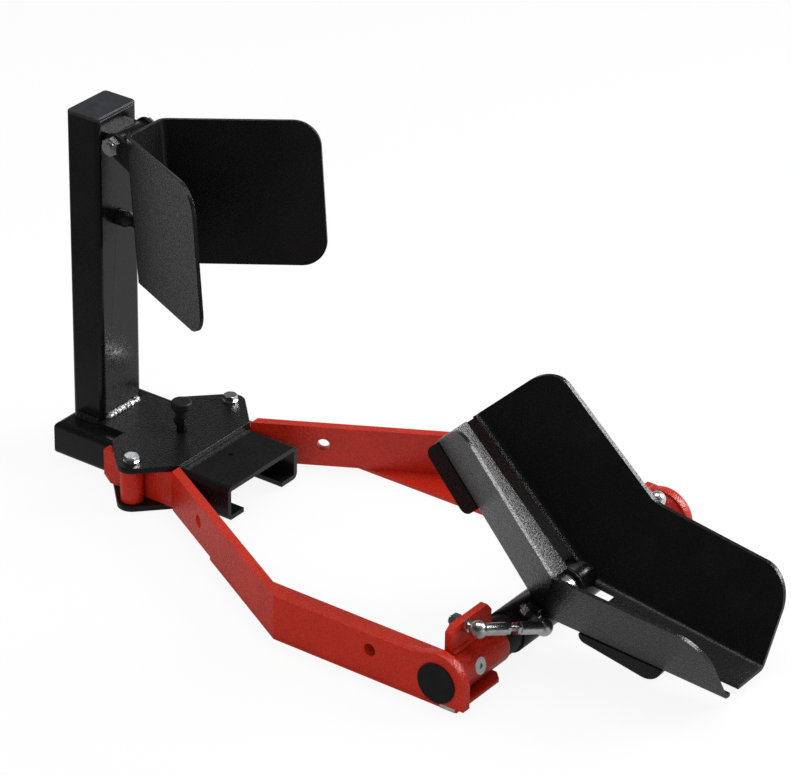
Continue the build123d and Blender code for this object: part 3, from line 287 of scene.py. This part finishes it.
def make_piece(name, vertices, faces, material, body, replaces=()):
    """A smooth mesh from its points and faces, which rides on a body."""
    mesh = bpy.data.meshes.new(name)
    mesh.from_pydata([tuple(v) for v in vertices], [], faces)
    shape = bmesh.new()
    shape.from_mesh(mesh)
    bmesh.ops.recalc_face_normals(shape, faces=shape.faces)
    shape.to_mesh(mesh)
    shape.free()
    mesh.shade_smooth()
    mesh.materials.append(material)
    piece = bpy.data.objects.new(name, mesh)
    bpy.context.scene.collection.objects.link(piece)
    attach(piece, body)
    if replaces:
        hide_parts(*replaces)
    return piece


def rings_to_faces(rings, count):
    """Faces between rings of equally many points, with a cap at each end."""
    faces = []
    for ring in range(rings - 1):
        for i in range(count):
            j = (i + 1) % count
            a, b = ring * count, (ring + 1) * count
            faces.append((a + i, a + j, b + j, b + i))
    faces.append(tuple(reversed(range(count))))
    faces.append(tuple(range((rings - 1) * count, rings * count)))
    return faces


def frame_along(direction):
    """Two directions square to a given one."""
    helper = UP if abs(direction.z) < 0.9 else AHEAD
    across = direction.cross(helper).normalized()
    return across, direction.cross(across).normalized()


def threaded_rod(name, start, end, radius, pitch, material, body, replaces=()):
    """A rod with a screw thread between two points."""
    run = end - start
    along = run.normalized()
    across, up = frame_along(along)
    steps = math.ceil(run.length / pitch * THREAD_STEPS_PER_TURN)
    points = []
    for step in range(steps + 1):
        travel = run.length * step / steps
        for i in range(THREAD_CORNERS):
            turn = i / THREAD_CORNERS
            phase = (travel / pitch - turn) % 1
            crest = radius - pitch * THREAD_DEPTH * (1 - abs(2 * phase - 1))
            angle = 2 * math.pi * turn
            points.append(start + along * travel + (across * math.cos(angle) + up * math.sin(angle)) * crest)
    faces = rings_to_faces(steps + 1, THREAD_CORNERS)
    return make_piece(name, points, faces, material, body, replaces)


def weld_bead(name, path, walls, leg, material, body, replaces=(), pitch=WELD_PITCH):
    """A hand-laid fillet weld: overlapping scales along a path, between two walls.

    walls holds the two directions along the walls away from the corner.
    """
    first, second = walls
    inward = (first + second).normalized() * -WELD_SINK
    lengths = [(b - a).length for a, b in zip(path, path[1:])]
    total = sum(lengths)
    steps = max(8, math.ceil(total / pitch * WELD_STEPS_PER_SCALE))
    points = []
    for step in range(steps + 1):
        share = step / steps
        travel = share * total
        index = 0
        while index < len(lengths) - 1 and travel > lengths[index]:
            travel -= lengths[index]
            index += 1
        corner = path[index].lerp(path[index + 1], travel / lengths[index])
        phase = (share * total / pitch) % 1
        ends = min(1, WELD_END_SHARE + min(share, 1 - share) * total / leg)
        scale = WELD_SCALE_START + WELD_SCALE_GROWTH * math.sqrt(phase)
        waver = 1 + WELD_WAVER * math.sin(share * total * WELD_WAVER_RATE)
        size = leg * ends * scale * waver
        points.append(corner + inward)
        for i in range(WELD_ROUND_POINTS):
            angle = math.pi / 2 * i / (WELD_ROUND_POINTS - 1)
            bulge = 1 - WELD_HOLLOW * math.sin(2 * angle)
            points.append(corner + (first * math.cos(angle) + second * math.sin(angle)) * size * bulge)
    faces = rings_to_faces(steps + 1, WELD_ROUND_POINTS + 1)
    return make_piece(name, points, faces, material, body, replaces)


def lathe(name, origin, profile, material, body, replaces=()):
    """A body turned about a line along X: its profile is a list of distances and radii."""
    points = []
    for along, radius in profile:
        for i in range(LATHE_CORNERS):
            angle = 2 * math.pi * i / LATHE_CORNERS
            points.append(origin + Vector((along, radius * math.cos(angle), radius * math.sin(angle))))
    faces = rings_to_faces(len(profile), LATHE_CORNERS)
    return make_piece(name, points, faces, material, body, replaces)


def weld_metal():
    """Coated weld with bright grains where the coat is thin."""
    material, tree, shader, place = new_material("coated_weld", (0.02, 0.02, 0.022), 0.3, specular=0.6)
    grains = noise(tree, place, scale=420, detail=3.0, roughness=0.7)
    bare = remap(tree, grains, 0.50, 0.60, 0, 1)
    colour = mix_colour(tree, bare, (0.012, 0.012, 0.013), (0.62, 0.62, 0.64))
    tree.links.new(colour, shader.inputs["Base Color"])
    tree.links.new(remap(tree, grains, 0.50, 0.60, 0, 0.9), shader.inputs["Metallic"])
    add_bumps(tree, shader, ((grains, 0.0003, 0.8),))
    return material


def build_welds():
    """The welds at the foot of the mast and under the lugs on the barrels."""
    bright = weld_metal()
    low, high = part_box("mast_tube")
    plate_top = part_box("top_plate")[1].z
    rail_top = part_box("rail_top")[1].z
    front_ends = (low.y + MAST_WELD_INSET, 0, high.y - MAST_WELD_INSET)
    front = [Vector((high.x, y, plate_top)) for y in front_ends]
    weld_bead("mast_weld_front", front, (AHEAD, UP), MAST_FRONT_LEG, bright, "base",
              replaces=("mast_weld",), pitch=MAST_WELD_PITCH)
    for side, sign in SIDES:
        y = low.y if sign < 0 else high.y
        outward = Vector((0, sign, 0))
        run = [Vector((x, y, rail_top)) for x in (low.x + MAST_WELD_INSET, high.x - MAST_WELD_INSET)]
        weld_bead(f"mast_weld_{side}", run, (outward, UP), MAST_SIDE_LEG, BLACK, "base")
        cap_low, cap_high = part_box(f"{side}_end_cap")
        radius = (cap_high.x - cap_low.x) / 2
        lug_low, lug_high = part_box(f"{side}_barrel_lug")
        lug_root = SHAFT.z + math.sqrt(radius ** 2 - (lug_high.x - SHAFT.x) ** 2)
        lug_ends = (lug_low.y + LUG_WELD_INSET, lug_high.y - LUG_WELD_INSET)
        root = [Vector((lug_high.x, y, lug_root)) for y in lug_ends]
        weld_bead(f"{side}_lug_weld", root, (AHEAD, UP), LUG_WELD_LEG, RED, "base")


def build_threads():
    """Screw threads on the tie rods."""
    for side, sign in SIDES:
        corners = [vertex.co for vertex in NODES[f"{side}_link_rod"].data.vertices]
        corners.sort(key=lambda v: v.y * sign)
        half = len(corners) // 2
        outer = sum(corners[half:], Vector()) / (len(corners) - half)
        inner = sum(corners[:half], Vector()) / half
        threaded_rod(f"{side}_link_thread", outer, inner, THREAD_RADIUS, THREAD_PITCH, ZINC, f"{side}_link",
                     replaces=(f"{side}_link_rod",))


def build_spring():
    """The plunger's coil spring, built to the length of the CAD spring. On the chock it shortens towards the
    roof of its bore as the plunger is pulled.
    """
    low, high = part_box("plunger_spring")
    wire = SPRING_WIRE_RADIUS
    radius = (high.x - low.x) / 2 - wire
    centre = Vector(((low.x + high.x) / 2, (low.y + high.y) / 2, low.z + wire))
    rise = high.z - low.z - 2 * wire
    points = []
    for step in range(SPRING_STEPS + 1):
        share = step / SPRING_STEPS
        angle = 2 * math.pi * SPRING_TURNS * share
        spoke = Vector((math.cos(angle), math.sin(angle), 0))
        middle = centre + spoke * radius + UP * (rise * share)
        for i in range(SPRING_CORNERS):
            turn = 2 * math.pi * i / SPRING_CORNERS
            points.append(middle + (spoke * math.cos(turn) + UP * math.sin(turn)) * wire)
    faces = rings_to_faces(SPRING_STEPS + 1, SPRING_CORNERS)
    spring = make_piece("plunger_coil", points, faces, STEEL, "base",
                        replaces=("plunger_spring",))
    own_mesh(spring)


def build_stop():
    """The moulded rubber stop: a waisted round body with a hard tip, in the place of the plain one."""
    low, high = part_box("stop_buffer")
    length = high.x - low.x
    radius = (high.z - low.z) / 2
    origin = Vector((low.x, 0, (low.z + high.z) / 2))
    body, tip = ([(x * length, r * radius) for x, r in shape] for shape in (STOP_BODY, STOP_TIP))
    lathe("stop_body", origin, body, RUBBER, "base", replaces=("stop_buffer",))
    lathe("stop_tip", origin, tip, ZINC, "base")


# Stage

def combine(tree, operation, first, second):
    """One value from two, by a maths operation. The second may be a plain number."""
    node = tree.nodes.new("ShaderNodeMath")
    node.operation = operation
    tree.links.new(first, node.inputs[0])
    if isinstance(second, float):
        node.inputs[1].default_value = second
    else:
        tree.links.new(second, node.inputs[1])
    return node.outputs[0]


def emission_by_rays(tree, surface, white_mix, painted_reflection_shade):
    """Mixes a surface with plain white for camera and transmission rays, and with a painted shade level for
    glossy ones:
    emission that sets how bright the surface looks in reflections."""
    path = tree.nodes.new("ShaderNodeLightPath")
    glossy = path.outputs["Is Glossy Ray"]
    total = combine(tree, "MAXIMUM", path.outputs["Is Camera Ray"], glossy)
    total = combine(tree, "MAXIMUM", total, path.outputs["Is Transmission Ray"])
    share = combine(tree, "MULTIPLY", total, white_mix)
    level = tree.nodes.new("ShaderNodeMix")
    level.inputs["A"].default_value = 1.0
    tree.links.new(glossy, level.inputs["Factor"])
    tree.links.new(painted_reflection_shade, level.inputs["B"])
    white = tree.nodes.new("ShaderNodeEmission")
    tree.links.new(level.outputs["Result"], white.inputs["Strength"])
    mix = tree.nodes.new("ShaderNodeMixShader")
    tree.links.new(share, mix.inputs["Fac"])
    tree.links.new(surface, mix.inputs[1])
    tree.links.new(white.outputs["Emission"], mix.inputs[2])
    return mix.outputs["Shader"]


def build_stage():
    """A plain pale floor that shows white, with a soft shadow. In reflections it shows painted shade: dark
    on the near side, bright on the far side.
    """
    bpy.ops.mesh.primitive_plane_add(size=FLOOR_SIZE, location=(0, 0, -FLOOR_BELOW))
    floor = bpy.context.object
    floor.name = "floor"
    material = bpy.data.materials.new("floor_white")
    material.use_nodes = True
    tree = material.node_tree
    tree.nodes.clear()
    diffuse = tree.nodes.new("ShaderNodeBsdfDiffuse")
    diffuse.inputs["Color"].default_value = (FLOOR_GREY, FLOOR_GREY, FLOOR_GREY, 1)
    place = tree.nodes.new("ShaderNodeTexCoord")
    split = tree.nodes.new("ShaderNodeSeparateXYZ")
    tree.links.new(place.outputs["Object"], split.inputs["Vector"])
    # Painted shade for reflections: the floor looks dark in them on the near side
    painted_reflection_shade = remap(tree, split.outputs["Y"], *FLOOR_REFLECTION_SHADE)
    surface = emission_by_rays(tree, diffuse.outputs["BSDF"], FLOOR_WHITE_SHARE, painted_reflection_shade)
    output = tree.nodes.new("ShaderNodeOutputMaterial")
    tree.links.new(surface, output.inputs["Surface"])
    floor.data.materials.append(material)


def build_world():
    """White for the camera. For reflections it is bright near the horizon, and dim above and on the
    near side."""
    world = bpy.data.worlds.new("studio")
    bpy.context.scene.world = world
    world.use_nodes = True
    tree = world.node_tree
    tree.nodes.clear()
    coords = tree.nodes.new("ShaderNodeTexCoord")
    split = tree.nodes.new("ShaderNodeSeparateXYZ")
    tree.links.new(coords.outputs["Generated"], split.inputs["Vector"])
    wall = remap(tree, split.outputs["Z"], *WALL_BY_HEIGHT)
    side = remap(tree, split.outputs["Y"], *WALL_BY_SIDE)
    seen = combine(tree, "MULTIPLY", wall, side)
    path = tree.nodes.new("ShaderNodeLightPath")
    lit = tree.nodes.new("ShaderNodeMix")
    lit.inputs["A"].default_value = SKY_LEVEL
    tree.links.new(path.outputs["Is Glossy Ray"], lit.inputs["Factor"])
    tree.links.new(seen, lit.inputs["B"])
    direct = combine(tree, "MAXIMUM", path.outputs["Is Camera Ray"], path.outputs["Is Transmission Ray"])
    strength = tree.nodes.new("ShaderNodeMix")
    strength.inputs["B"].default_value = 1.0
    tree.links.new(direct, strength.inputs["Factor"])
    tree.links.new(lit.outputs["Result"], strength.inputs["A"])
    background = tree.nodes.new("ShaderNodeBackground")
    tree.links.new(strength.outputs["Result"], background.inputs["Strength"])
    output = tree.nodes.new("ShaderNodeOutputWorld")
    tree.links.new(background.outputs["Background"], output.inputs["Surface"])


def add_light(name, location, aim, size, power, glossy=True, diffuse=True):
    """A softbox that points at a place. It can be kept out of reflections or out of the diffuse light."""
    data = bpy.data.lights.new(name, "AREA")
    data.shape = "RECTANGLE"
    data.size, data.size_y = size
    data.energy = power
    light = bpy.data.objects.new(name, data)
    light.location = location
    light.rotation_euler = (Vector(aim) - Vector(location)).to_track_quat("-Z", "Y").to_euler()
    light.visible_glossy = glossy
    light.visible_diffuse = diffuse
    light.visible_camera = False
    bpy.context.scene.collection.objects.link(light)


def build_lights():
    """A key light on the far side with extra shine, a top light, and fills that reflections don't show."""
    add_light("key_box", (1.05, 1.35, 1.15), aim=(0.1, 0, 0.1), size=(1.0, 0.8), power=30)
    add_light("key_shine", (1.07, 1.38, 1.17), aim=(0.1, 0, 0.1), size=(1.0, 0.8), power=30, diffuse=False)
    add_light("top_box", (-0.1, 0.3, 2.1), aim=(0, 0, 0), size=(1.4, 1.0), power=19)
    add_light("left_fill", (-1.9, -0.5, 1.2), aim=(0, 0, 0.15), size=(1.2, 1.2), power=11, glossy=False)
    add_light("near_fill", (0.6, -2.2, 1.3), aim=(0, 0, 0.1), size=(1.6, 1.2), power=16, glossy=False)


def build_camera():
    """The photograph's viewpoint, aimed so that the frame needs no shift."""
    azimuth, elevation, roll = (math.radians(v) for v in (CAMERA_AZIMUTH, CAMERA_ELEVATION, CAMERA_ROLL))
    flat = math.cos(elevation)
    back = Vector((flat * math.cos(azimuth), -flat * math.sin(azimuth), math.sin(elevation)))
    right = UP.cross(back).normalized()
    up = back.cross(right)
    right, up = right * math.cos(roll) + up * math.sin(roll), up * math.cos(roll) - right * math.sin(roll)
    aim = (up * (TARGET_PIXELS_LOW / FOCAL_PIXELS) - back).normalized()
    right = aim.cross(up).normalized()
    up = right.cross(aim)
    camera = bpy.data.objects.new("camera", bpy.data.cameras.new("camera"))
    camera.data.sensor_width = SENSOR
    camera.data.lens = FOCAL_PIXELS * SENSOR / PHOTO_WIDTH
    camera.data.clip_start, camera.data.clip_end = 0.1, 60
    turn = Matrix((right, up, -aim)).transposed().to_4x4()
    camera.matrix_world = Matrix.Translation(Vector(CAMERA_TARGET) + back * CAMERA_DISTANCE) @ turn
    bpy.context.scene.collection.objects.link(camera)
    bpy.context.scene.camera = camera


bpy.context.scene.view_settings.view_transform = "Standard"
build_camera()
build_stage()
build_world()
build_lights()
dress_cad_nodes()
build_welds()
build_threads()
build_stop()
build_spring()

bpy.context.view_layer.update()
